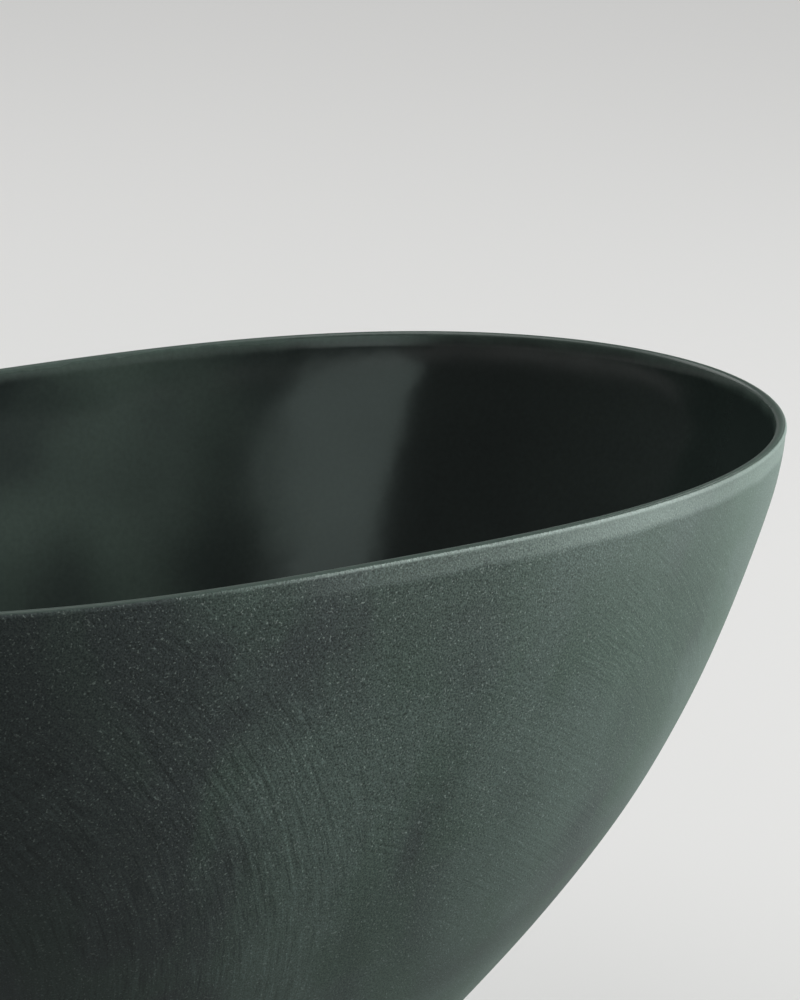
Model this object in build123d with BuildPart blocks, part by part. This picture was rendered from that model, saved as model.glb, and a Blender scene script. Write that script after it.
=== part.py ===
"""Deep oval porcelain flower vessel with a lift-out pin holder standing on its floor.

X runs along the oval, Y across it and Z is up. The origin is on the table, under the middle of the foot.
"""
from build123d import *

import math
import os

from numpy import interp

# Vessel, overall
rim_length = 330.0
rim_width = 205.0
wall_height = 165.0
foot_height = 7.0

# Plan outline: an oval whose long sides are flatter than those of an ellipse
end_power = 2.75
side_power = 2.0
outline_points = 20

# Outer wall: how far down the wall each section lies, and its girth as a share of the rim's
depth_shares = (0.0, 0.08, 0.15, 0.30, 0.45, 0.60, 0.75, 0.88, 1.0)
girth_shares = (1.0, 0.9875, 0.966, 0.9085, 0.836, 0.743, 0.621, 0.499, 0.375)

# Lip: a shallow sanded facet under a crest whose outer edge is bare porcelain and whose rest is glazed
lip_thickness = 2.8
lip_facet_height = 5.5
lip_facet_girth_share = 0.9967
crest_bare_share = 0.25
crest_edge_share = 0.2
crest_inner_share = 0.45

# Wall thickness at the foot, measured level, and the inner floor
base_thickness = 7.5
floor_height = 12.0
floor_fillet = 6.0

# Glaze: it lines the inside and runs over the crest to the bare edge
glaze_thickness = 0.6

# Foot ring, unglazed, its outer edge bevelled
foot_inset = 3.0
foot_taper = 1.5
foot_width = 4.5
foot_recess = 5.0
foot_bevel = 0.8

# Pin holder: a heavy round base in a rubber ring that is turned in under its edge
holder_clearance = 0.7
base_height = 7.0
base_edge_radius = 0.8
ring_wall = 2.0
ring_under = 1.0
ring_under_width = 3.0
ring_edge_radius = 0.5
ring_gap = 0.1

# Pins: pressed into blind holes in rings round a middle one, each ring with so many more
pin_radius = 0.55
pin_pitch = 3.2
pin_margin = 3.0
pin_depth = 4.0
pin_shank = 11.0
pin_point = 3.0
pin_tip_radius = 0.1
more_pins_count = 6

# Cuts run past the solid by this much
overrun = 2.0

# Heights above the table
crest_height = foot_height + wall_height
lip_facet_base = crest_height - lip_facet_height
base_seat = floor_height + ring_under
base_top = base_seat + base_height


def thickness_at(depth_share):
    """Level thickness of the wall and its glaze, which grows evenly from the lip to the foot."""
    return lip_thickness + (base_thickness - lip_thickness) * depth_share


# The pin holder is as large as the flat of the floor takes
floor_share = (crest_height - floor_height) / wall_height
floor_half_width = rim_width / 2 * interp(floor_share, depth_shares, girth_shares) - thickness_at(floor_share)
holder_radius = floor_half_width - floor_fillet - holder_clearance
base_radius = holder_radius - ring_wall - ring_gap


def signed_power(value, power):
    """The value's size raised to a power, with its sign kept."""
    return math.copysign(abs(value) ** power, value)


def oval(half_length, half_width, height):
    """Level oval face of the vessel's plan shape."""
    turns = [2 * math.pi * step / outline_points for step in range(outline_points)]
    outline = [
        (
            half_length * signed_power(math.cos(turn), 2 / end_power),
            half_width * signed_power(math.sin(turn), 2 / side_power),
        )
        for turn in turns
    ]
    with BuildSketch(Plane.XY.offset(height)) as plan:
        with BuildLine():
            Spline(*outline, periodic=True)
        make_face()
    return plan.sketch


def wall_section(girth, inset, height):
    """Oval of the wall's girth, drawn in from it by the same amount all round."""
    return oval(rim_length / 2 * girth - inset, rim_width / 2 * girth - inset, height)


def hollow(skin, floor):
    """The vessel's inner space down to a floor height, let into its wall by a skin."""
    with BuildPart() as space:
        sections = []
        for depth_share, girth_share in zip(depth_shares, girth_shares):
            height = crest_height - wall_height * depth_share
            sections.append(wall_section(girth_share, thickness_at(depth_share) - skin, height))
        loft(sections=sections)
        split(bisect_by=Plane.XY.offset(floor), keep=Keep.TOP)
        fillet(space.edges().group_by(Axis.Z)[0], floor_fillet + skin)
        extrude(space.faces().sort_by(Axis.Z)[-1], amount=overrun)
    return space.part


# The space inside the bare porcelain with the step that takes the glaze on the crest
with BuildPart() as bare_space:
    add(hollow(glaze_thickness, floor_height - glaze_thickness))
    crest_step = wall_section(girth_shares[0], lip_thickness * crest_bare_share, crest_height - glaze_thickness)
    extrude(crest_step, amount=glaze_thickness + overrun)

# Coloured porcelain shell with its foot ring
with BuildPart() as vessel_body:
    wall = [wall_section(lip_facet_girth_share, 0, lip_facet_base)]
    for depth_share, girth_share in zip(depth_shares[1:], girth_shares[1:]):
        wall.append(wall_section(girth_share, 0, crest_height - wall_height * depth_share))
    loft(sections=wall)
    loft(sections=[wall[0], wall_section(girth_shares[0], 0, crest_height)], ruled=True)
    fillet(vessel_body.edges().group_by(Axis.Z)[-1], lip_thickness * crest_edge_share)
    foot_girth = girth_shares[-1]
    foot_top = wall_section(foot_girth, foot_inset, foot_height)
    foot_low = wall_section(foot_girth, foot_inset + foot_taper, foot_bevel)
    foot_bottom = wall_section(foot_girth, foot_inset + foot_taper + foot_bevel, 0)
    loft(sections=[foot_top, foot_low, foot_bottom], ruled=True)
    foot_hollow = wall_section(foot_girth, foot_inset + foot_taper + foot_width, 0)
    extrude(foot_hollow, amount=foot_recess, mode=Mode.SUBTRACT)
    add(bare_space.part, mode=Mode.SUBTRACT)
vessel_body.part.label = "vessel_body"

# Glossy glaze inside and over the crest, rounded where it turns down into the vessel
with BuildPart() as inner_glaze:
    add(bare_space.part)
    split(bisect_by=Plane.XY.offset(crest_height), keep=Keep.BOTTOM)
    add(hollow(0, floor_height), mode=Mode.SUBTRACT)
    crest_edges = inner_glaze.edges().group_by(Axis.Z)[-1].sort_by(SortBy.LENGTH)
    fillet(crest_edges[0], lip_thickness * crest_inner_share)
inner_glaze.part.label = "inner_glaze"

# Places of the pins: one in the middle and evenly spaced ones in rings round it
pin_places = [(0, 0)]
for ring in range(1, math.floor((base_radius - pin_margin) / pin_pitch) + 1):
    ring_radius = ring * pin_pitch
    ring_count = ring * more_pins_count
    for step in range(ring_count):
        turn = 2 * math.pi * step / ring_count
        pin_places.append((ring_radius * math.cos(turn), ring_radius * math.sin(turn)))

# Heavy cast base with a blind hole for each pin
with BuildPart() as kenzan_base:
    with BuildSketch(Plane.XY.offset(base_seat)):
        Circle(base_radius)
    extrude(amount=base_height)
    fillet(kenzan_base.edges().group_by(Axis.Z)[-1], base_edge_radius)
    with BuildSketch(Plane.XY.offset(base_top)):
        with Locations(*pin_places):
            Circle(pin_radius)
    extrude(amount=-pin_depth, mode=Mode.SUBTRACT)
kenzan_base.part.label = "kenzan_base"

# One brass pin, ground to a point
with BuildPart() as pin:
    with BuildSketch(Plane.XZ):
        with BuildLine():
            Polyline(
                (0, 0),
                (pin_radius, 0),
                (pin_radius, pin_depth + pin_shank),
                (pin_tip_radius, pin_depth + pin_shank + pin_point),
                (0, pin_depth + pin_shank + pin_point),
                close=True,
            )
        make_face()
    revolve(axis=Axis.Z)

# The pins, each standing in its hole
with BuildPart(Plane.XY.offset(base_top - pin_depth)) as kenzan_pins:
    with Locations(*pin_places):
        add(pin.part)
kenzan_pins.part.label = "kenzan_pins"

# Rubber ring round the base, turned in under its edge
with BuildPart() as kenzan_ring:
    with BuildSketch(Plane.XY.offset(floor_height)):
        Circle(holder_radius)
        Circle(base_radius - ring_under_width, mode=Mode.SUBTRACT)
    extrude(amount=ring_under + base_height - base_edge_radius)
    with BuildSketch(Plane.XY.offset(base_seat)):
        Circle(base_radius + ring_gap)
    extrude(amount=base_height, mode=Mode.SUBTRACT)
    outer_rims = kenzan_ring.edges().filter_by(GeomType.CIRCLE).sort_by(SortBy.RADIUS)[-2:]
    fillet(outer_rims, ring_edge_radius)
kenzan_ring.part.label = "kenzan_ring"

os.makedirs("parts", exist_ok=True)
for piece in (vessel_body, inner_glaze, kenzan_base, kenzan_pins, kenzan_ring):
    export_step(piece.part, "parts/" + piece.part.label + ".step")
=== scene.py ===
"""Looks of a deep oval porcelain flower vessel and of the pin holder that stands in it."""

import logging
import math
from dataclasses import dataclass, field
from enum import Enum

import bpy
import numpy as np
from mathutils import Matrix, Quaternion, Vector


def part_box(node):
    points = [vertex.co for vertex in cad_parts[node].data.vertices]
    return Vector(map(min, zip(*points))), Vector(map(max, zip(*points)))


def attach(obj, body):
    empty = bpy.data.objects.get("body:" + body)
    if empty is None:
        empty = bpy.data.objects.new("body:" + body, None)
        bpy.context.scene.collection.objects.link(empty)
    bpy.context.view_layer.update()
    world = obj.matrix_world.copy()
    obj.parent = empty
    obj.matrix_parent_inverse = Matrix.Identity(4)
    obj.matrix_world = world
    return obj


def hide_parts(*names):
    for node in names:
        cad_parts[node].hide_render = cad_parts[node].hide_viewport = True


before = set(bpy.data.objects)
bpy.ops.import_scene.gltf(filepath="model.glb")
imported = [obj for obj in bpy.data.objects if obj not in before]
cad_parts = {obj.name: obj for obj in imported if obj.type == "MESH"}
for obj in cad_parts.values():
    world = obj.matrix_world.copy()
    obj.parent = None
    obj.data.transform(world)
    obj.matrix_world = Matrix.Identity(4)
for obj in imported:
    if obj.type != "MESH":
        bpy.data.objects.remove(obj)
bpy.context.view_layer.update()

MM = 0.001
Colour = tuple[float, float, float]
Socket = bpy.types.NodeSocket
log = logging.getLogger("vessel")


class Plan(Enum):
    """The upright plane in which a family of sanding strokes was made."""

    LONG_SIDES = "X"
    ENDS = "Y"


class Value:
    """A number-carrying shader socket; arithmetic on it adds Math nodes to its graph."""

    def __init__(self, graph: "Graph", socket: Socket) -> None:
        """Wraps a socket of a graph.

        Args:
            graph: the graph that the socket is in.
            socket: the output socket that carries the number.
        """
        self.graph = graph
        self.socket = socket

    def math(self, operation: str, *operands: "Value | float") -> "Value":
        """Adds one Math node.

        Args:
            operation: Blender's name of the operation.
            operands: what goes into its sockets, in order.

        Returns:
            The node's result.
        """
        node = self.graph.node("ShaderNodeMath", {"operation": operation}, dict(enumerate(operands)))
        return Value(self.graph, node.outputs[0])

    def __add__(self, other: "Value | float") -> "Value":
        """Sum."""
        return self.math("ADD", self, other)

    def __radd__(self, other: float) -> "Value":
        """Sum with a number first."""
        return self.math("ADD", other, self)

    def __sub__(self, other: "Value | float") -> "Value":
        """Difference."""
        return self.math("SUBTRACT", self, other)

    def __rsub__(self, other: float) -> "Value":
        """Difference with a number first."""
        return self.math("SUBTRACT", other, self)

    def __mul__(self, other: "Value | float") -> "Value":
        """Product."""
        return self.math("MULTIPLY", self, other)

    def __rmul__(self, other: float) -> "Value":
        """Product with a number first."""
        return self.math("MULTIPLY", other, self)

    def __pow__(self, other: float) -> "Value":
        """Power."""
        return self.math("POWER", self, other)

    def __abs__(self) -> "Value":
        """Size without sign."""
        return self.math("ABSOLUTE", self)

    def step(self, low: float, high: float) -> "Value":
        """Smooth rise from 0 to 1.

        Args:
            low: where the rise starts.
            high: where it ends; a value under low makes a fall.

        Returns:
            The eased value.
        """
        start, end = (0.0, 1.0) if low < high else (1.0, 0.0)
        inputs = {
            "From Min": min(low, high),
            "From Max": max(low, high),
            "To Min": start,
            "To Max": end,
            "Value": self,
        }
        node = self.graph.node("ShaderNodeMapRange", {"interpolation_type": "SMOOTHSTEP"}, inputs)
        return Value(self.graph, node.outputs["Result"])


class Graph:
    """The node tree of one material or world."""

    def __init__(self, owner: bpy.types.Material | bpy.types.World) -> None:
        """Empties the owner's tree.

        Args:
            owner: the material or world to build.
        """
        owner.use_nodes = True
        self.owner = owner
        self.tree = owner.node_tree
        self.tree.nodes.clear()

    def node(self, kind: str, settings: dict | None = None, inputs: dict | None = None) -> bpy.types.Node:
        """Adds one node.

        Args:
            kind: the node's type.
            settings: its properties, set first.
            inputs: values, sockets or Values for its sockets, by name or number.

        Returns:
            The node.
        """
        node = self.tree.nodes.new(kind)
        for name, setting in (settings or {}).items():
            setattr(node, name, setting)
        for key, given in (inputs or {}).items():
            slot = node.inputs[key]
            if isinstance(given, Value):
                self.tree.links.new(given.socket, slot)
            elif isinstance(given, Socket):
                self.tree.links.new(given, slot)
            elif isinstance(given, tuple) and slot.type == "RGBA":
                slot.default_value = (*given, 1.0)
            else:
                slot.default_value = given
        return node

    def places(self) -> Socket:
        """Where a point lies on the object, in millimetres."""
        return self.scaled(self.node("ShaderNodeTexCoord").outputs["Object"], 1 / MM)

    def parts(self, vector: Socket) -> tuple[Value, Value, Value]:
        """The three numbers of a vector."""
        node = self.node("ShaderNodeSeparateXYZ", inputs={0: vector})
        return tuple(Value(self, socket) for socket in node.outputs)

    def vector(self, x: Value | float, y: Value | float, z: Value | float) -> Socket:
        """A vector of three numbers."""
        return self.node("ShaderNodeCombineXYZ", inputs={0: x, 1: y, 2: z}).outputs[0]

    def noise(self, spot: Socket, grain: float, detail: float = 2.0, warp: float = 0.0) -> Value:
        """Noise between about 0.3 and 0.7.

        Args:
            spot: the place, in millimetres.
            grain: the size of its features, in millimetres.
            detail: how many finer layers it has.
            warp: how much it is bent out of shape.

        Returns:
            The noise.
        """
        inputs = {"Vector": spot, "Scale": 1 / grain, "Detail": detail, "Distortion": warp}
        node = self.node("ShaderNodeTexNoise", inputs=inputs)
        return Value(self, node.outputs["Fac"])

    def mix(self, factor: Value | float, first: Colour | Socket, second: Colour | Socket) -> Socket:
        """Mixes two colours.

        Args:
            factor: the second colour's share.
            first: a colour or its socket.
            second: a colour or its socket.

        Returns:
            The mixed colour.
        """
        node = self.node("ShaderNodeMix", {"data_type": "RGBA"}, {0: factor, 6: first, 7: second})
        return node.outputs[2]

    def scaled(self, vector: Socket, factor: Value | float) -> Socket:
        """A vector or a colour times a number."""
        node = self.node("ShaderNodeVectorMath", {"operation": "SCALE"}, {0: vector, "Scale": factor})
        return node.outputs["Vector"]

    def surface(self, **inputs: object) -> bpy.types.Material:
        """Ends the material with one Principled shader.

        Args:
            inputs: its sockets, with a blank in a name written as an underline.

        Returns:
            The finished material.
        """
        named = {name.replace("_", " "): given for name, given in inputs.items()}
        shader = self.node("ShaderNodeBsdfPrincipled", inputs=named)
        self.node("ShaderNodeOutputMaterial", inputs={"Surface": shader.outputs[0]})
        return self.owner

    def bump(self, height: Value, depth: float) -> Socket:
        """A normal from a height between 0 and 1.

        Args:
            height: the height.
            depth: how deep 1 is, in metres.

        Returns:
            The bent normal.
        """
        return self.node("ShaderNodeBump", inputs={"Height": height, "Distance": depth}).outputs["Normal"]


def new_graph(name: str) -> Graph:
    """A new material's empty graph."""
    return Graph(bpy.data.materials.new(name))


def new_object(name: str, data: bpy.types.ID) -> bpy.types.Object:
    """A new object in the scene.

    Args:
        name: its name.
        data: its mesh, lamp or camera.

    Returns:
        The object.
    """
    thing = bpy.data.objects.new(name, data)
    bpy.context.scene.collection.objects.link(thing)
    return thing


def right_and_up(ahead: Vector) -> tuple[Vector, Vector]:
    """The directions to the right of a view and up from it.

    Args:
        ahead: where the view looks.

    Returns:
        The level direction to its right, and the one up.
    """
    right = ahead.cross(Vector((0, 0, 1))).normalized()
    return right, right.cross(ahead)


@dataclass(frozen=True)
class Strokes:
    """A family of sanding strokes: parts of circles round one centre, in one upright plane.

    Lengths are in millimetres. On the far side of the vessel the family lies mirrored.

    Attributes:
        plan: the plane they lie in.
        centre: the circles' centre, along the plane and up.
        middle: the middle of the place where they lie, along the plane and up.
        reach: how far they spread from there.
        spacing: the distance between strokes.
        length: how long a stroke runs.
        seed: a shift that makes the family unlike the others.
        wander: the size of the waves in the edge of the place where they lie.
        full: the share of the reach inside which they are at full strength.
        ridge: where in the noise a ridge starts and where it is full.
        groove: the same for a groove.
    """

    plan: Plan
    centre: tuple[float, float]
    middle: tuple[float, float]
    reach: float = 60.0
    spacing: float = 1.1
    length: float = 15.0
    seed: float = 0.0
    wander: float = 24.0
    full: float = 0.35
    ridge: tuple[float, float] = (0.54, 0.64)
    groove: tuple[float, float] = (0.45, 0.36)

    def lines(self, graph: Graph, spot: Socket) -> Value:
        """The strokes as light and dark lines.

        Args:
            graph: the material's graph.
            spot: the place, in millimetres.

        Returns:
            1 on a ridge, -1 in a groove and 0 away from them.
        """
        x, y, z = graph.parts(spot)
        near, far, turned = (x, y, -1.0) if self.plan is Plan.LONG_SIDES else (y, x, 1.0)
        across = near * far.math("SIGN", far) * turned
        aside = across - self.centre[0]
        up = z - self.centre[1]
        radius = (aside * aside + up * up) ** 0.5
        along = up.math("ARCTAN2", up, aside) * radius * (1 / self.length)
        strip = graph.vector(radius * (1 / self.spacing), along, self.seed)
        fine = graph.noise(strip, 1.0, 2.5)
        away = across - self.middle[0]
        above = z - self.middle[1]
        gone = (away * away + above * above) ** 0.5
        wander = graph.noise(spot, self.wander, 1.0) * self.reach
        patch = (gone + wander - self.reach / 2).step(self.reach, self.reach * self.full)
        return (fine.step(*self.ridge) - fine.step(*self.groove)) * patch


@dataclass(frozen=True)
class SandedPorcelain:
    """Matt coloured porcelain, sanded by hand. Lengths are in millimetres.

    Attributes:
        crest: the crest's height.
        facet: the height of the lip's facet.
        tone: the main colour.
        slate_and_shade: the colour of its bluer clouds, and of the painted shade towards -X.
        moss: the colour of its greener clouds.
        chalk: the colour of the pale specks.
        polish_and_sheen: the colour of the lip where sanding has closed the surface, also used for the
            painted sheen on the +X half and the painted highlight on the crest's edge.
        soak: the colour of the edge that the glaze has soaked into.
        cloud: the size of the slate clouds.
        drift: the size of the moss drifts.
        grain: the size of the grain.
        speck: the size of the pale specks.
        brushed_and_sheen: how far below the crest the wall is paled a little, by sanding and by painted sheen
            on the +X half.
        relief: how deep grain and strokes are, in metres.
        families: the sanding strokes.
    """

    crest: float
    facet: float
    tone: Colour = (0.158, 0.219, 0.192)
    slate_and_shade: Colour = (0.076, 0.092, 0.093)
    moss: Colour = (0.124, 0.186, 0.150)
    chalk: Colour = (0.42, 0.50, 0.46)
    polish_and_sheen: Colour = (0.47, 0.58, 0.535)
    soak: Colour = (0.080, 0.118, 0.099)
    cloud: float = 58.0
    drift: float = 31.0
    grain: float = 0.46
    speck: float = 0.60
    brushed_and_sheen: float = 42.0
    relief: float = 0.07 * MM
    families: tuple[Strokes, ...] = (
        Strokes(Plan.LONG_SIDES, (-165.0, 47.0), (-48.0, 100.0), 84.0, 1.15, 15.0, 3.0),
        Strokes(Plan.LONG_SIDES, (-85.0, -117.0), (44.0, 104.0), 56.0, 1.0, 34.0, 17.0),
        Strokes(Plan.LONG_SIDES, (-28.0, 32.0), (84.0, 138.0), 44.0, 0.95, 11.0, 41.0),
        Strokes(Plan.LONG_SIDES, (-230.0, 330.0), (-118.0, 120.0), 54.0, 1.1, 14.0, 23.0),
        Strokes(Plan.ENDS, (-90.0, 10.0), (-12.0, 96.0), 64.0, 1.1, 14.0, 59.0),
        Strokes(Plan.ENDS, (80.0, -160.0), (34.0, 60.0), 48.0, 1.0, 14.0, 83.0),
    )

    def strokes(self, graph: Graph, spot: Socket) -> Value:
        """All families together, each on the walls that face its plane.

        Args:
            graph: the material's graph.
            spot: the place, in millimetres.

        Returns:
            1 on a ridge, -1 in a groove and 0 away from them.
        """
        facing = graph.node("ShaderNodeNewGeometry").outputs["Normal"]
        across, ahead, _ = graph.parts(facing)
        on = {Plan.LONG_SIDES: abs(ahead).step(0.3, 0.7), Plan.ENDS: abs(across).step(0.45, 0.8)}
        lines = [family.lines(graph, spot) * on[family.plan] for family in self.families]
        total = lines[0]
        for line in lines[1:]:
            total = total + line
        return total

    def material(self) -> bpy.types.Material:
        """Builds the finish.

        Returns:
            Its material.
        """
        graph = new_graph("sanded_porcelain")
        spot = graph.places()
        x, y, height = graph.parts(spot)
        strokes = self.strokes(graph, spot)
        # Clouds and drifts are drawn out upwards; the slate clouds are random tone, and their gathering
        # towards -X is painted shade on that side
        tall = graph.vector(x, y, height * 0.55)
        painted_shade = x.step(20.0, -90.0) * 0.36 - 0.12
        clouds_and_shade = (graph.noise(tall, self.cloud, 2.0, 0.5) + painted_shade).step(0.42, 0.64)
        mossy = x.step(-110.0, 0.0) * 0.7 + 0.3
        drifts = graph.noise(tall, self.drift, 2.0, 0.4).step(0.46, 0.62) * mossy
        grain = graph.noise(spot, self.grain, 1.0)
        specks = graph.noise(spot, self.speck, 0.0).step(0.68, 0.78)
        # Sanding has closed the facet and, more faintly, the wall below it; kept to the +X half, their paler
        # colour is also painted sheen on the lit side
        sheen_side = x.step(-60.0, 60.0) * (1 - x.step(50.0, 130.0) * 0.45)
        rubbed_and_lit = (graph.noise(spot, 70.0, 1.0).step(0.3, 0.62) * 0.4 + 0.6) * sheen_side
        edge = height + graph.noise(spot, 12.0, 1.0) * 1.6 - 0.8
        facet = edge.step(self.crest - self.facet - 1.2, self.crest - self.facet + 1.0) * rubbed_and_lit
        brushed_and_sheen = edge.step(self.crest - self.brushed_and_sheen, self.crest - 4.0) * rubbed_and_lit
        # The grain shows most towards -X and high up, and the strokes' painted light and shade towards -X
        rough = (x.step(115.0, 0.0) * 0.74 + 0.26) * (1 - facet * 0.45)
        coarse = rough * (height.step(35.0, 130.0) * 0.48 + 0.52)
        stroke_shading = x.step(30.0, -40.0) * 0.22 + 0.075
        # The bare edge of the crest is soaked with glaze, and has a painted highlight along one stretch
        below = self.crest - height
        soaked = (below + grain * 0.2).step(0.68, 0.42)
        painted_highlight = (below + grain * 0.5).step(1.5, 1.1) * x.step(-55.0, 5.0) * x.step(105.0, 50.0)
        # Slate colour: random bluer clouds, plus painted shade gathered towards -X
        colour = graph.mix(clouds_and_shade * 0.85, self.tone, self.slate_and_shade)
        colour = graph.mix(drifts * 0.6, colour, self.moss)
        # Paler facet and upper wall: sanded finish, with painted sheen on the +X half
        colour = graph.mix(facet * 0.6 + brushed_and_sheen * 0.16, colour, self.polish_and_sheen)
        # Painted highlight along one stretch of the crest's edge
        colour = graph.mix(painted_highlight * 0.75, colour, self.polish_and_sheen)
        colour = graph.mix(specks * coarse * 0.58, colour, self.chalk)
        # The strokes make the colour lighter on ridges and darker in grooves: painted light and shade of
        # their relief
        colour = graph.scaled(colour, ((grain - 0.5) * 2.4 * coarse + 1) * (1 + strokes * stroke_shading))
        colour = graph.mix(soaked, colour, self.soak)
        relief = grain * 0.8 + specks * 0.4 + strokes * 0.18
        return graph.surface(
            Base_Color=colour,
            Roughness=0.62 - facet * 0.1 - soaked * 0.2,
            Normal=graph.bump(relief, self.relief),
            Specular_IOR_Level=0.22,
        )


@dataclass(frozen=True)
class DeepGlaze:
    """Glossy, almost black green glaze that breaks lighter where it thins at the crest.

    Attributes:
        crest: the crest's height, in millimetres.
        deep: its colour where it lies thick.
        haze_and_light: its colour in paler drifts, which also paint the light on the -X inner wall.
        thin: its colour on the crest.
        thin_band: how far below the crest the thin colour reaches, in millimetres.
        ripple: how deep the waves in its face are, in metres.
    """

    crest: float
    deep: Colour = (0.0200, 0.0290, 0.0270)
    haze_and_light: Colour = (0.072, 0.104, 0.086)
    thin: Colour = (0.080, 0.118, 0.099)
    thin_band: float = 4.5
    ripple: float = 1.0 * MM

    def material(self) -> bpy.types.Material:
        """Builds the finish.

        Returns:
            Its material.
        """
        graph = new_graph("deep_glaze")
        spot = graph.places()
        across, _, height = graph.parts(spot)
        wander = graph.noise(spot, 9.0, 2.0)
        thinness = (height + wander * 3.0 - 1.5).step(self.crest - self.thin_band, self.crest)
        # Paler drifts, partly random tone and partly painted light on the -X inner wall, which fade out
        # towards +X
        painted_light_side = 1 - across.step(15.0, 110.0) * 0.85
        drifts = graph.noise(spot, 46.0, 1.0, 0.3).step(0.25, 0.65) * painted_light_side
        grain = graph.noise(spot, 1.4, 2.0)
        # Paler drifts: random tone, with painted light on the -X inner wall
        colour = graph.mix(drifts, self.deep, self.haze_and_light)
        colour = graph.mix(thinness, colour, self.thin)
        colour = graph.scaled(colour, grain * 0.4 + 0.8)
        ripple = graph.noise(spot, 11.0, 2.0) * 0.05 + graph.noise(spot, 44.0, 0.0) * 0.8
        return graph.surface(
            Base_Color=colour,
            Roughness=0.10 + graph.noise(spot, 26.0, 1.0) * 0.10 + thinness * 0.14,
            Normal=graph.bump(ripple, self.ripple),
            Specular_IOR_Level=0.55,
        )


@dataclass(frozen=True)
class CastMetal:
    """Dull grey cast metal of the pin holder's base.

    Attributes:
        tone: its main colour.
        dark: the colour of its stains.
        relief: how deep its grain is, in metres.
    """

    tone: Colour = (0.18, 0.18, 0.185)
    dark: Colour = (0.07, 0.07, 0.073)
    relief: float = 0.06 * MM

    def material(self) -> bpy.types.Material:
        """Builds the finish.

        Returns:
            Its material.
        """
        graph = new_graph("cast_metal")
        spot = graph.places()
        blots = graph.noise(spot, 5.0, 3.0).step(0.38, 0.66)
        grain = graph.noise(spot, 0.5, 2.0)
        colour = graph.scaled(graph.mix(blots, self.tone, self.dark), grain * 0.5 + 0.75)
        return graph.surface(
            Base_Color=colour,
            Metallic=0.75,
            Roughness=0.48 + blots * 0.2,
            Normal=graph.bump(grain, self.relief),
        )


@dataclass(frozen=True)
class PinBrass:
    """Brass pins, bright at the points and dulled by water below.

    Attributes:
        foot: the height where the pins leave the base, in millimetres.
        tip: the height of their points.
        bright: the colour at the points.
        dull: the colour of the stain below.
    """

    foot: float
    tip: float
    bright: Colour = (0.66, 0.47, 0.19)
    dull: Colour = (0.27, 0.19, 0.085)

    def material(self) -> bpy.types.Material:
        """Builds the finish.

        Returns:
            Its material.
        """
        graph = new_graph("pin_brass")
        spot = graph.places()
        _, _, height = graph.parts(spot)
        stain = (height + graph.noise(spot, 3.0, 2.0) * 9.0).step(self.foot + 4.0, self.tip)
        colour = graph.mix(stain, self.dull, self.bright)
        return graph.surface(Base_Color=colour, Metallic=1.0, Roughness=0.42 - stain * 0.16)


@dataclass(frozen=True)
class RingRubber:
    """Black rubber of the pin holder's ring.

    Attributes:
        tone: its main colour.
        bloom: the colour of the paler film on it.
        relief: how deep its grain is, in metres.
    """

    tone: Colour = (0.014, 0.014, 0.015)
    bloom: Colour = (0.035, 0.035, 0.037)
    relief: float = 0.02 * MM

    def material(self) -> bpy.types.Material:
        """Builds the finish.

        Returns:
            Its material.
        """
        graph = new_graph("ring_rubber")
        spot = graph.places()
        bloom = graph.noise(spot, 7.0, 3.0).step(0.4, 0.7)
        grain = graph.noise(spot, 0.4, 1.0)
        return graph.surface(
            Base_Color=graph.mix(bloom, self.tone, self.bloom),
            Roughness=0.66 + bloom * 0.14,
            Normal=graph.bump(grain, self.relief),
        )


@dataclass(frozen=True)
class Row:
    """One level ring of points: half its length and width, and its height, in metres."""

    half_length: float
    half_width: float
    height: float


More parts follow.
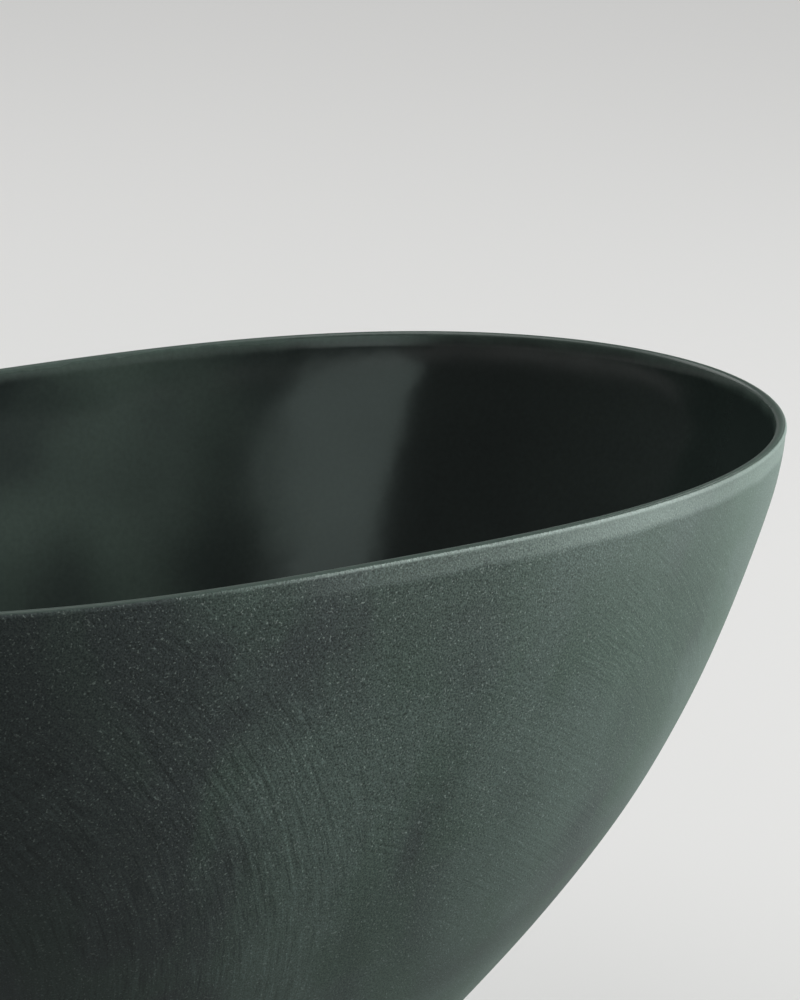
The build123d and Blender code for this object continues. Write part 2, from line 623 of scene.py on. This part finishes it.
@dataclass
class Vessel:
    """The porcelain shell and its glaze.

    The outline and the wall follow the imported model: its box gives length, width and height, and the shares
    give the wall's girth on the way down. Sizes are in metres.

    Attributes:
        half_length: half the rim's length.
        half_width: half the rim's width.
        crest: the crest's height.
        floor: the height of the glazed floor.
        foot_height: the height of the foot ring.
        lip: the wall's thickness at the crest, with its glaze.
        base_wall: its thickness at the foot, measured level.
        glaze: the thickness of the glaze.
        facet: the height of the sanded facet under the crest.
        facet_girth: the girth at the facet's lower edge.
        facet_blend: how far the facet takes to run out into the wall.
        floor_fillet: the radius of the floor's edge.
        bare_share: the share of the crest's thickness that is bare of glaze.
        end_power: the power of the plan oval's ends.
        side_power: the power of its long sides.
        foot_inset: how far the foot stands in from the wall.
        foot_taper: how much further it is drawn in at the table.
        foot_width: the width of the foot ring.
        foot_recess: the depth of the hollow under it.
        foot_edge: the radius of its edges.
        wall_turn: how far in and down the wall's lower edge is turned.
        cove_drop: the height of the hollow curve between wall and foot.
        recess_round: the radius of the corner in the hollow.
        unevenness: how far the wall wanders from its true shape.
        swells: the waves of that, each with its number round the wall, its climb and its shift.
        swell_fade: how far from facet and floor the waves are at full strength.
        columns: how many points a row has.
        row_step: the height of a row on a seen face.
        back_step: the height of a row on the face between porcelain and glaze.
        first_row: how far under the facet the wall's first row lies.
        arc_rows: how many rows a large rounded edge has.
        edge_rows: how many rows a small one has.
        depth_shares: how far down the wall each girth lies.
        girth_shares: the girths, as shares of the rim's.
        closing_shares: the sizes of the rows that close a face in, as shares of its last one.
        turns: the angles of a row's points.
        bare_lean: the lean of the crest where the glaze ends.
    """

    half_length: float
    half_width: float
    crest: float
    floor: float
    foot_height: float = 7.0 * MM
    lip: float = 2.8 * MM
    base_wall: float = 7.5 * MM
    glaze: float = 0.6 * MM
    facet: float = 5.5 * MM
    facet_girth: float = 0.9967
    facet_blend: float = 6.0 * MM
    floor_fillet: float = 6.0 * MM
    bare_share: float = 0.25
    end_power: float = 2.75
    side_power: float = 2.0
    foot_inset: float = 3.0 * MM
    foot_taper: float = 1.5 * MM
    foot_width: float = 4.5 * MM
    foot_recess: float = 5.0 * MM
    foot_edge: float = 0.8 * MM
    wall_turn: tuple[float, float] = (0.4 * MM, 0.3 * MM)
    cove_drop: float = 1.2 * MM
    recess_round: float = 1.0 * MM
    unevenness: float = 0.10 * MM
    swells: tuple[tuple[int, float, float], ...] = (
        (17, 95.0, 0.4),
        (-23, 130.0, 2.1),
        (29, -70.0, 4.4),
        (-13, -160.0, 1.3),
    )
    swell_fade: float = 20.0 * MM
    columns: int = 520
    row_step: float = 2.0 * MM
    back_step: float = 6.0 * MM
    first_row: float = 0.5 * MM
    arc_rows: int = 9
    edge_rows: int = 5
    depth_shares: tuple[float, ...] = (0.0, 0.08, 0.15, 0.30, 0.45, 0.60, 0.75, 0.88, 1.0)
    girth_shares: tuple[float, ...] = (1.0, 0.9875, 0.966, 0.9085, 0.836, 0.743, 0.621, 0.499, 0.375)
    closing_shares: tuple[float, ...] = (0.8, 0.55, 0.3, 0.1)
    turns: np.ndarray = field(init=False)
    bare_lean: float = field(init=False)

    def __post_init__(self) -> None:
        """Spaces the columns evenly round the rim and finds the lean where the glaze ends."""
        self.bare_lean = math.asin(1 - 2 * self.bare_share)
        trials_per_column = 40
        fine = np.linspace(0.0, 2 * math.pi, self.columns * trials_per_column + 1)
        rim = self.outline(Row(self.half_length, self.half_width, 0.0), fine)
        steps = np.hypot(np.diff(rim[:, 0]), np.diff(rim[:, 1]))
        run = np.concatenate(([0.0], np.cumsum(steps)))
        self.turns = np.interp(np.arange(self.columns) * run[-1] / self.columns, run, fine)

    def outline(self, row: Row, turns: np.ndarray) -> np.ndarray:
        """The plan oval of a row.

        Args:
            row: the row's sizes.
            turns: the angles of its points.

        Returns:
            Its points in space.
        """
        across, ahead = np.cos(turns), np.sin(turns)
        x = row.half_length * np.sign(across) * np.abs(across) ** (2 / self.end_power)
        y = row.half_width * np.sign(ahead) * np.abs(ahead) ** (2 / self.side_power)
        return np.stack([x, y, np.full(len(turns), row.height)], axis=1)

    def girth(self, depth: float) -> float:
        """The wall's girth as a share of the rim's, on a smooth line through the listed shares.

        Args:
            depth: how far below the crest, in metres.

        Returns:
            The share.
        """
        share = depth / (self.crest - self.foot_height)
        shares, girths = np.array(self.depth_shares), np.array(self.girth_shares)
        slopes = np.gradient(girths, shares, edge_order=2)
        index = int(np.clip(np.searchsorted(shares, share, side="right") - 1, 0, len(shares) - 2))
        span = shares[index + 1] - shares[index]
        part = (share - shares[index]) / span
        rest = 1 - part
        first = girths[index] * (1 + 2 * part) * rest**2 + slopes[index] * span * part * rest**2
        second = girths[index + 1] * part**2 * (3 - 2 * part) - slopes[index + 1] * span * part**2 * rest
        return float(first + second)

    def row(self, girth: float, inset: float, height: float) -> Row:
        """A row of a girth, drawn in by the same amount all round.

        Args:
            girth: its share of the rim's girth.
            inset: how far it is drawn in.
            height: its height.

        Returns:
            The row.
        """
        return Row(self.half_length * girth - inset, self.half_width * girth - inset, height)

    def thickness(self, depth: float) -> float:
        """Level thickness of the wall with its glaze, at a depth below the crest."""
        return self.lip + (self.base_wall - self.lip) * depth / (self.crest - self.foot_height)

    def outside(self) -> list[Row]:
        """The porcelain's outer face.

        Returns:
            The rows, from the bare edge of the crest down to the middle of the foot.
        """
        edge = self.lip / 2
        rows = [self.crest_row(lean) for lean in np.linspace(self.bare_lean, math.pi / 2, self.arc_rows)]
        for share in np.linspace(0.15, 1.0, 6):
            depth = edge + (self.facet - edge) * share
            rows.append(self.row(1 - (1 - self.facet_girth) * depth / self.facet, 0.0, self.crest - depth))
        wall = self.crest - self.foot_height
        gap = self.facet_girth - self.girth(self.facet)
        for depth in np.arange(self.facet + self.first_row, wall, self.row_step):
            ease = math.exp(-(depth - self.facet) / self.facet_blend)
            rows.append(self.row(self.girth(depth) + gap * ease, 0.0, self.crest - depth))
        return rows + self.foot()

    def foot(self) -> list[Row]:
        """The foot ring and the hollow under it.

        Returns:
            The rows, from the wall's lower edge to the middle of the hollow.
        """
        girth = self.girth_shares[-1]
        turn_in, turn_down = self.wall_turn
        cove_top = self.foot_height - turn_down
        rows = [self.row(girth, 0.0, self.foot_height), self.row(girth, turn_in, cove_top)]
        quarter = np.linspace(0, math.pi / 2, self.edge_rows)
        for turn in quarter[1:]:
            inset = turn_in + (self.foot_inset - turn_in) * math.sin(turn)
            rows.append(self.row(girth, inset, cove_top - self.cove_drop * (1 - math.cos(turn))))
        for share in (0.35, 0.7, 1.0):
            height = (cove_top - self.cove_drop) * (1 - share) + self.foot_edge * share
            rows.append(self.row(girth, self.foot_inset + self.foot_taper * share, height))
        outer = self.foot_inset + self.foot_taper
        for turn in np.linspace(0.3, math.pi / 2, self.edge_rows):
            inset = outer + self.foot_edge * (1 - math.cos(turn))
            rows.append(self.row(girth, inset, self.foot_edge * (1 - math.sin(turn))))
        inner = outer + self.foot_width
        for turn in quarter:
            inset = inner - self.foot_edge * (1 - math.sin(turn))
            rows.append(self.row(girth, inset, self.foot_edge * (1 - math.cos(turn))))
        for across, down in ((0.0, 1.0), (0.3, 0.3), (1.0, 0.0)):
            height = self.foot_recess - down * self.recess_round
            rows.append(self.row(girth, inner + across * self.recess_round, height))
        return rows + self.closing(rows[-1])

    def closing(self, last: Row) -> list[Row]:
        """Level rows that close a row in towards its middle."""
        shares = self.closing_shares
        return [Row(last.half_length * share, last.half_width * share, last.height) for share in shares]

    def lining(self, skin: float, step: float) -> list[Row]:
        """The inside of the wall and the floor, from the crest down.

        Args:
            skin: how far the face lies outside the glaze's own face.
            step: the height of a row.

        Returns:
            The rows.
        """
        floor = self.floor - skin
        rows = []
        for depth in np.arange(0.0, self.crest - floor - (self.floor_fillet + skin) / 2, step):
            rows.append(self.row(self.girth(depth), self.thickness(depth) - skin, self.crest - depth))
        last, before = rows[-1], rows[-2]
        drop = last.height - floor
        reach = 2 * drop / (before.height - last.height)
        for share in np.linspace(0, 1, self.arc_rows)[1:]:
            length = last.half_length - (before.half_length - last.half_length) * reach * share
            width = last.half_width - (before.half_width - last.half_width) * reach * share
            rows.append(Row(length, width, last.height - drop * (2 * share - share**2)))
        return rows + self.closing(rows[-1])

    def crest_row(self, lean: float) -> Row:
        """A row on the crest's half round.

        Args:
            lean: how far the face leans outwards there, from -90 degrees inside to 90 outside, in radians.

        Returns:
            The row.
        """
        radius = self.lip / 2
        return self.row(1.0, radius * (1 - math.sin(lean)), self.crest - radius * (1 - math.cos(lean)))

    def crest_roll(self) -> list[Row]:
        """The glaze on the crest, from its bare edge over and down to the inner wall."""
        leans = np.linspace(self.bare_lean, -math.pi / 2, 2 * self.arc_rows - 1)
        return [self.crest_row(lean) for lean in leans[:-1]]

    def wave(self, points: np.ndarray) -> np.ndarray:
        """Gives a ring the slight unevenness of a wall that was shaped by hand.

        Args:
            points: the ring's points.

        Returns:
            The moved points; crest, floor and foot stay true.
        """
        height = points[0, 2]
        below = min(max((self.crest - self.facet - height) / self.swell_fade, 0.0), 1.0)
        fade = below * min(max((height - self.floor) / self.swell_fade, 0.0), 1.0)
        turn = np.linspace(0, 2 * math.pi, self.columns, endpoint=False)
        swell = np.zeros(self.columns)
        for waves, climb, shift in self.swells:
            swell += np.sin(waves * turn + climb * height + shift)
        moved = points.copy()
        share = swell * self.unevenness * fade / len(self.swells) / self.half_width
        moved[:, :2] *= 1 + share[:, None]
        return moved

    def mesh(self, name: str, rows: list[Row], back: list[Row], around: bool) -> bpy.types.Object:
        """A closed skin of two faces that share their first row.

        Args:
            name: the piece's name.
            rows: the face that is seen, from the shared edge to its middle.
            back: the face against the other piece, from the edge to its middle.
            around: whether the seen face lies round the back, so that its faces have to be turned.

        Returns:
            The new object.
        """
        rings = list(reversed(back)) + rows
        points = [self.outline(ring, self.turns) for ring in rings]
        for place in range(len(back), len(rings)):
            points[place] = self.wave(points[place])
        count = self.columns
        corners = np.concatenate(points + [np.array([[0, 0, rings[0].height], [0, 0, rings[-1].height]])])
        first_pole, last_pole = len(corners) - 2, len(corners) - 1
        faces = []
        for ring in range(len(rings) - 1):
            low, high = ring * count, (ring + 1) * count
            for column in range(count):
                beside = (column + 1) % count
                faces.append((low + column, low + beside, high + beside, high + column))
        top = (len(rings) - 1) * count
        for column in range(count):
            beside = (column + 1) % count
            faces.append((first_pole, beside, column))
            faces.append((last_pole, top + column, top + beside))
        if around:
            faces = [face[::-1] for face in faces]
        data = bpy.data.meshes.new(name)
        data.from_pydata(corners.tolist(), [], faces)
        data.update()
        data.shade_smooth()
        return new_object(name, data)

    def build(self) -> list[bpy.types.Object]:
        """Makes the shell and the glaze in place of their nodes.

        Returns:
            The two pieces.
        """
        joint = [self.row(1.0, self.lip * self.bare_share, self.crest - self.glaze)]
        back = joint + self.lining(self.glaze, self.back_step)[1:]
        shell = self.mesh("porcelain_shell", self.outside(), back, True)
        shell.data.materials.append(SandedPorcelain(self.crest / MM, self.facet / MM).material())
        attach(shell, "vessel")
        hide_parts("vessel_body")
        coat = self.mesh("glaze_coat", self.crest_roll() + self.lining(0.0, self.row_step)[1:], back, False)
        coat.data.materials.append(DeepGlaze(self.crest / MM).material())
        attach(coat, "vessel")
        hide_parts("inner_glaze")
        return [shell, coat]


@dataclass
class PinHolder:
    """The lift-out pin holder, whose nodes keep their shape."""

    def dress(self) -> list[bpy.types.Object]:
        """Gives each node its finish.

        Returns:
            The three pieces.
        """
        _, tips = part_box("kenzan_pins")
        _, base_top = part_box("kenzan_base")
        finishes = {
            "kenzan_base": CastMetal().material(),
            "kenzan_pins": PinBrass(base_top.z / MM, tips.z / MM).material(),
            "kenzan_ring": RingRubber().material(),
        }
        pieces = []
        for node, finish in finishes.items():
            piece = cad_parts[node]
            piece.data.materials.clear()
            piece.data.materials.append(finish)
            pieces.append(piece)
        return pieces


@dataclass(frozen=True)
class Lamp:
    """One soft area lamp.

    Attributes:
        name: its name.
        place: where it stands, in metres.
        width: its width.
        height: its height.
        level: how bright its face is, where 1 is white.
        tint: its colour.
        roll_deg: how far it is turned about the way it faces.
        mirrored: whether it only shows as a reflection.
    """

    name: str
    place: tuple[float, float, float]
    width: float
    height: float
    level: float
    tint: Colour = (1.0, 1.0, 1.0)
    roll_deg: float = 0.0
    mirrored: bool = False

    def light(self, target: Vector) -> None:
        """Puts the lamp in the scene.

        Args:
            target: the point that it faces.
        """
        data = bpy.data.lights.new(self.name, "AREA")
        data.shape = "RECTANGLE"
        data.size = self.width
        data.size_y = self.height
        data.color = self.tint
        data.energy = self.level * math.pi * self.width * self.height
        lamp = new_object(self.name, data)
        lamp.location = self.place
        facing = (target - Vector(self.place)).to_track_quat("-Z", "Y")
        lamp.rotation_euler = (facing @ Quaternion((0, 0, 1), math.radians(self.roll_deg))).to_euler()
        lamp.visible_diffuse = not self.mirrored


@dataclass
class Studio:
    """Pale floor, soft light and the photograph's point of view.

    The view was solved from the rim's outline in the photograph. Distances are in metres.

    Attributes:
        target: the point of the crest's plane above the middle of the foot, which the camera looks near.
        floor_reach: the radius of the floor.
        floor_sides: how many sides it has.
        floor_colour: its colour as it is seen.
        floor_bounce: the colour of the light that it throws on the vessel.
        floor_glow: the share of its look that doesn't depend on the lamps.
        sky: the surroundings as they are seen.
        zenith: the surroundings overhead, as the glaze mirrors them.
        skyline: how far up the mirrored surroundings have turned from sky to zenith.
        fill: the share of the sky's light that falls on the vessel.
        lamp_aim: the height that the lamps face, as a share of the target's.
        azimuth_deg: the camera's place round the vessel.
        elevation_deg: its place above the target's level.
        distance: how far it is from the target.
        pan_deg: how far it is turned right of the target.
        tilt_deg: how far it is turned up from it.
        focal_px: its focal length in pixels of the photograph.
        long_side_px: the photograph's height.
        sensor_mm: the height of its sensor.
        lamps: the lamps.
    """

    target: Vector
    floor_reach: float = 6.0
    floor_sides: int = 96
    floor_colour: Colour = (0.80, 0.80, 0.79)
    floor_bounce: Colour = (0.07, 0.07, 0.07)
    floor_glow: float = 0.64
    sky: Colour = (0.74, 0.74, 0.73)
    zenith: Colour = (0.10, 0.10, 0.10)
    skyline: float = 0.12
    fill: float = 0.18
    lamp_aim: float = 0.6
    azimuth_deg: float = -27.746
    elevation_deg: float = 15.788
    distance: float = 0.9075
    pan_deg: float = 3.390
    tilt_deg: float = -0.777
    focal_px: float = 3639.26
    long_side_px: float = 1000.0
    sensor_mm: float = 36.0
    lamps: tuple[Lamp, ...] = (
        Lamp("key", (1.28, -0.46, 0.50), 0.8, 0.96, 8.9),
        Lamp("window", (-0.20, -1.15, 0.54), 0.60, 0.86, 1.0, (0.80, 1.0, 0.93), -29.0, True),
        Lamp("far_window", (0.62, -1.10, 0.58), 0.56, 0.96, 0.18, (0.80, 1.0, 0.93), 0.0, True),
        Lamp("top", (0.0, 0.15, 1.5), 1.0, 1.0, 1.8),
        Lamp("back", (-0.3, 1.2, 1.1), 1.2, 1.0, 1.7),
    )

    def camera(self) -> None:
        """Makes the camera at the photograph's viewing angle."""
        azimuth, elevation = math.radians(self.azimuth_deg), math.radians(self.elevation_deg)
        level = math.cos(elevation)
        back = Vector((math.sin(azimuth) * level, -math.cos(azimuth) * level, math.sin(elevation)))
        ahead = -back
        right, up = right_and_up(ahead)
        pan, tilt = math.tan(math.radians(self.pan_deg)), math.tan(math.radians(self.tilt_deg))
        ahead = (ahead + right * pan + up * tilt).normalized()
        right, up = right_and_up(ahead)
        data = bpy.data.cameras.new("photo_view")
        data.sensor_width = self.sensor_mm
        data.lens = self.focal_px / self.long_side_px * self.sensor_mm
        data.clip_start = 0.01
        camera = new_object("photo_view", data)
        turn = Matrix((right, up, -ahead)).transposed().to_4x4()
        camera.matrix_world = Matrix.Translation(self.target + back * self.distance) @ turn
        bpy.context.scene.camera = camera

    def seen(self, graph: Graph) -> Value:
        """Tells rays that show a surface from rays that carry its light.

        Args:
            graph: the graph of the floor or the world.

        Returns:
            1 for rays from the camera, a reflection or a clear body, and 0 for the rest.
        """
        path = graph.node("ShaderNodeLightPath")
        names = ("Is Camera Ray", "Is Glossy Ray", "Is Transmission Ray")
        direct, glossy, through = (Value(graph, path.outputs[name]) for name in names)
        return direct.math("MAXIMUM", direct, direct.math("MAXIMUM", glossy, through))

    def world(self) -> None:
        """Makes the pale surroundings and their even fill light."""
        world = bpy.data.worlds.new("studio")
        graph = Graph(world)
        path = graph.node("ShaderNodeLightPath")
        direction = graph.node("ShaderNodeTexCoord").outputs["Generated"]
        _, _, rise = graph.parts(direction)
        mirrored = Value(graph, path.outputs["Is Glossy Ray"])
        pale = graph.mix(mirrored * rise.step(0.0, self.skyline), self.sky, self.zenith)
        dim = tuple(part * self.fill for part in self.sky)
        colour = graph.mix(self.seen(graph), dim, pale)
        back = graph.node("ShaderNodeBackground", inputs={"Color": colour, "Strength": 1.0})
        graph.node("ShaderNodeOutputWorld", inputs={"Surface": back.outputs[0]})
        bpy.context.scene.world = world

    def floor(self) -> None:
        """Lays the pale floor."""
        turns = np.linspace(0, 2 * math.pi, self.floor_sides, endpoint=False)
        reach = self.floor_reach
        edge = [(reach * math.cos(turn), reach * math.sin(turn), 0.0) for turn in turns]
        data = bpy.data.meshes.new("floor")
        data.from_pydata(edge, [], [tuple(range(self.floor_sides))])
        data.update()
        floor = new_object("floor", data)
        graph = new_graph("pale_floor")
        seen = self.seen(graph)
        colour = graph.mix(seen, self.floor_bounce, self.floor_colour)
        matt = {"Base Color": colour, "Roughness": 0.85, "Specular IOR Level": 0.0}
        lit = graph.node("ShaderNodeBsdfPrincipled", inputs=matt)
        glow = graph.node("ShaderNodeEmission", inputs={"Color": self.floor_colour, "Strength": 1.0})
        blend = {0: seen * self.floor_glow, 1: lit.outputs[0], 2: glow.outputs[0]}
        both = graph.node("ShaderNodeMixShader", inputs=blend)
        graph.node("ShaderNodeOutputMaterial", inputs={"Surface": both.outputs[0]})
        data.materials.append(graph.owner)

    def build(self) -> None:
        """Makes the whole studio."""
        self.camera()
        self.world()
        self.floor()
        for lamp in self.lamps:
            lamp.light(Vector((0, 0, self.target.z * self.lamp_aim)))
        bpy.context.scene.view_settings.view_transform = "Standard"


def main() -> None:
    """Builds the studio, the vessel and the pin holder, and reports each piece."""
    logging.basicConfig(level=logging.INFO, format="%(name)s: %(message)s")
    _, glaze_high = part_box("inner_glaze")
    body_low, body_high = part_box("vessel_body")
    ring_low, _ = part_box("kenzan_ring")
    crest = glaze_high.z
    Studio(Vector((0, 0, crest))).build()
    half = (body_high - body_low) / 2
    vessel = Vessel(half_length=half.x, half_width=half.y, crest=crest, floor=ring_low.z)
    for piece in vessel.build() + PinHolder().dress():
        log.info("%s: %d faces", piece.name, len(piece.data.polygons))


if __name__ == "__main__":
    main()
